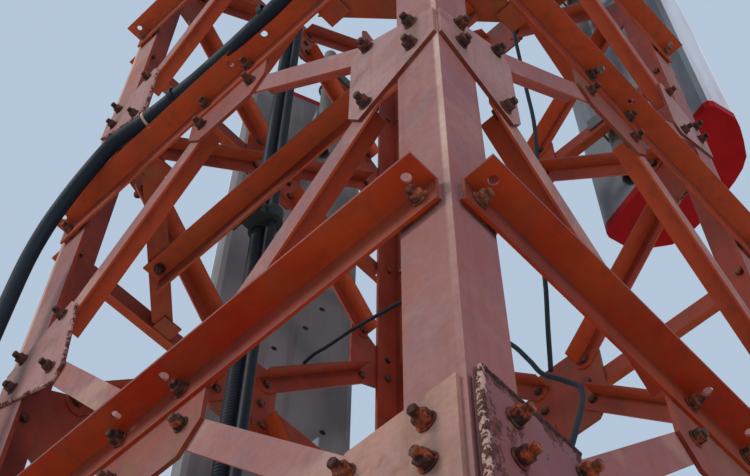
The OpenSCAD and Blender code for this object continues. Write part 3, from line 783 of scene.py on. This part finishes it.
def peeling_paint(name, pale, dark, share):
    """Chips of pale paint over dark rust. Share moves the edge between them."""
    peel = Finish(name, 0.25)
    chip = peel.patches(0.016, 0.50 - share, 0.54 - share, detail=7.0, roughness=0.7)
    fine = peel.patches(0.005, 0.35, 0.65, detail=4.0, at=(2, 2, 2))
    colour = peel.blend(fine, dark, [c * 2.4 for c in dark])
    colour = peel.blend(chip, colour, pale)
    return peel.done(colour, 0.85, [(chip, 0.0010), (fine, 0.0004)])


def facing_out(points, skin):
    """The faces of a closed solid, all turned outwards."""
    volume = 0.0
    for face in skin:
        first = Vector(points[face[0]])
        for k in range(1, len(face) - 1):
            volume += first.dot(Vector(points[face[k]]).cross(Vector(points[face[k + 1]])))
    return skin if volume > 0 else [face[::-1] for face in skin]


outwards = Vector((0, -1, 0))
crust_lip = 0.003


def curled_edge(start, end, inward, width, lift, steps, seed, depth=0.0112):
    """A lumpy crust over the edge of a plate: down its thickness, and a ragged width over its face."""
    start, end, inward = Vector(start), Vector(end), Vector(inward)
    draw = random.Random(seed)
    # across the edge, from deep in the plate to its face: inwards, outwards, share of the lumps
    profile = ((0.0006, -depth, 0.0), (-0.0010, -0.7 * depth, 0.8), (-0.0016, -0.35 * depth, 1.0),
               (-0.0012, 0.0002, 1.0), (0.0012, 0.0018, 1.0), (0.30 * width, 0.0016, 1.0),
               (0.62 * width, 0.0012, 0.8), (width, -0.0004, 0.0))
    points = []
    for step in range(steps + 1):
        base = start.lerp(end, step / steps)
        ragged = draw.uniform(0.55, 1.15)
        for across, above, lump in profile:
            swell = lump * lift * draw.uniform(-0.3, 1.0)
            if across > crust_lip:
                across, above = across * ragged, above + swell
            else:
                across, above = across - swell * 0.8, above + swell * 0.2
            points.append(base + inward * across + outwards * above)
    return points, facing_out(points, ring_skin(steps + 1, len(profile)))


# each face has one splice plate, on its left leg: its side by the heel, and its top
splice_y = -tower_half - plate - splice_plate
splice_bottom = splice_z - splice_half
splice_top = splice_z + splice_half
top_left, top_right = -0.636, -0.452
pale_curls, dark_curls = [], []
for number, turn in enumerate(face_turns):
    low_end = (-splice_side, splice_y, splice_bottom + 0.004)
    high_end = (-splice_side, splice_y, splice_top - 0.002)
    side_edge = curled_edge(low_end, high_end, (1, 0, 0), width=0.007, lift=0.0022, steps=90,
                            seed=40 + number)
    pale_curls.append((*side_edge, turn))
    left_end = (top_left, splice_y, splice_top)
    right_end = (top_right, splice_y, splice_top)
    top_edge = curled_edge(left_end, right_end, (0, 0, -1), width=0.011, lift=0.0016, steps=46,
                           seed=60 + number)
    dark_curls.append((*top_edge, turn))

# the free edges of a gusset: down its side, and back to the leg
gusset_x = -tower_half + 0.217
gusset_y = -tower_half - plate
gusset_half = 0.128
toe_in = 0.026
toe_drop = 0.166
heel_drop = 0.055
wide_toe = 0.030
crust_step = 0.005
thin_curls = []
for number in (0, 2):
    for joint in (3, 4):
        z = joint_0 + joint * bay
        side_x = gusset_x + (wide_toe if number == 0 and joint == wide_joint else 0.0)
        top = (gusset_x, gusset_y, z + gusset_half)
        side = (side_x, gusset_y, z - gusset_half)
        toe = (side_x - toe_in, gusset_y, z - toe_drop)
        heel = (-splice_side, gusset_y, z - heel_drop)
        for start, end, inward in ((top, side, (-1, 0, 0)), (side, toe, (-0.8, 0, 0.6)),
                                   (toe, heel, (0.53, 0, 0.85))):
            steps = max(6, int((Vector(end) - Vector(start)).length / crust_step))
            seed = 80 + number * 10 + joint * 3 + len(thin_curls)
            edge = curled_edge(start, end, inward, width=0.006, lift=0.0014, steps=steps, seed=seed,
                               depth=0.007)
            thin_curls.append((*edge, face_turns[number]))

thin_peel = peeling_paint("thin_peeling_paint", (0.420, 0.225, 0.180), (0.060, 0.016, 0.011), 0.03)
pale_peel = peeling_paint("pale_peeling_paint", (0.470, 0.285, 0.235), (0.050, 0.014, 0.010), 0.02)
dark_peel = peeling_paint("dark_peeling_paint", (0.120, 0.050, 0.045), (0.022, 0.008, 0.008), -0.08)
for name, curls, peel in (("gusset_peeling_edges", thin_curls, thin_peel),
                          ("pale_peeling_edges", pale_curls, pale_peel),
                          ("dark_peeling_edges", dark_curls, dark_peel)):
    crust = gather(name, curls, peel, 50.0)
    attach(crust, "root")


# The panel antennas: a folded grey metal back, a white weathered radome in front and red end
# caps, hung by galvanised brackets on pipes that U-bolts hold to the horizontals.

flank_grey = (0.600, 0.615, 0.650)
flank_run = (0.420, 0.250, 0.300)


def weathered_shell(name, colour, stain, stain_share, rough, glint=0.30, flank=None):
    """A smooth shell with stained runs. Where it faces the way of flank it is a pale grey."""
    shell = Finish(name, glint)
    runs = shell.patches(0.06, 0.45, 0.72, stretch=(1, 1, 0.10))
    cloud = shell.patches(0.30, 0.35, 0.70, at=(2, 2, 7))
    tint = shell.blend(shell.times(runs, stain_share), colour, stain)
    tint = shell.blend(shell.times(cloud, 0.25), tint, [c * 0.72 for c in colour])
    if flank:
        normal = shell.add("NewGeometry").outputs["True Normal"]
        turned_there = shell.add("VectorMath", {"operation": "DOT_PRODUCT"}, {0: normal, 1: flank})
        pale = shell.blend(shell.times(runs, 0.5), flank_grey, flank_run)
        tint = shell.blend(shell.ramp(turned_there.outputs["Value"], 0.75, 0.90), tint, pale)
    dents = shell.patches(0.25, 0.2, 0.8, detail=1.0)
    return shell.done(tint, shell.span(cloud, rough, rough + 0.2), [(dents, 0.002)])


left_back = weathered_shell("left_back_grey", (0.165, 0.150, 0.150), (0.110, 0.060, 0.052), 0.6, 0.45)
finish_nodes(left_back, "left_antenna_back")
rear_back = weathered_shell("rear_back_grey", (0.255, 0.280, 0.305), (0.130, 0.100, 0.105), 0.6, 0.45,
                            flank=(0.86, -0.50, 0.0))
finish_nodes(rear_back, "rear_antenna_back")
radome_white = weathered_shell("radome_white", (0.800, 0.810, 0.820), (0.420, 0.300, 0.310), 0.45, 0.40)
finish_nodes(radome_white, "rear_antenna_radome", "left_antenna_radome")
cap_red = weathered_shell("cap_red", (0.360, 0.004, 0.005), (0.150, 0.003, 0.004), 0.4, 0.50, glint=0.10)
finish_nodes(cap_red, "rear_antenna_caps", "left_antenna_caps")
dull_zinc = weathered_shell("dull_zinc", (0.125, 0.128, 0.112), (0.070, 0.045, 0.030), 0.6, 0.55)
finish_nodes(dull_zinc, "rear_antenna_pipe", "left_antenna_pipe")
blue_zinc = weathered_shell("blue_zinc", (0.190, 0.225, 0.270), (0.070, 0.045, 0.030), 0.5, 0.50)
finish_nodes(blue_zinc, "left_antenna_brackets")
dark_zinc = weathered_shell("dark_zinc", (0.080, 0.082, 0.084), (0.050, 0.034, 0.026), 0.5, 0.60)
finish_nodes(dark_zinc, "rear_antenna_brackets", "pipe_clamps")


# The bushes: dark rubber rings with a lip, pressed into round holes of the antennas' backs, where
# other brackets would go.

bush_rubber = black_jacket("bush_rubber", (0.010, 0.009, 0.009), 0.7, 0.3)
lip_profile = ((0.0112, -0.0004), (0.0105, 0.0012), (0.0085, 0.0022), (0.0045, 0.0010), (0.0045, -0.0004))
bush_lip = turned(lip_profile, 16, hollow=True)
bush_bore = turned(((0.0046, -0.0004), (0.0046, 0.0004)), 16)


def bushes(name, start, end, out, spots):
    """A bush at each (distance along the back from start to end, height). The back faces out."""
    start, end, out = Vector(start), Vector(end), Vector(out)
    way = (end - start).normalized()
    solids = []
    for distance, height in spots:
        spot = along(start + way * distance + Vector((0, 0, height)), out)
        solids += [(*bush_lip, spot), (*bush_bore, spot)]
    piece = gather(name, solids, bush_rubber, 50.0)
    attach(piece, "root")


bushes("left_back_bushes", (-1.0117, 0.1312, 0), (-0.8243, 0.5948, 0), (0.9271, -0.3748, 0),
       ((0.327, 5.695), (0.220, 5.507), (0.385, 5.850), (0.417, 5.154), (0.166, 6.265), (0.327, 6.900),
        (0.220, 4.700)))
bushes("rear_back_bushes", (0.1316, 0.9012, 0), (0.6524, 0.7588, 0), (-0.2638, -0.9646, 0),
       ((0.147, 5.9166), (0.380, 5.9166), (0.147, 7.913), (0.380, 7.913)))
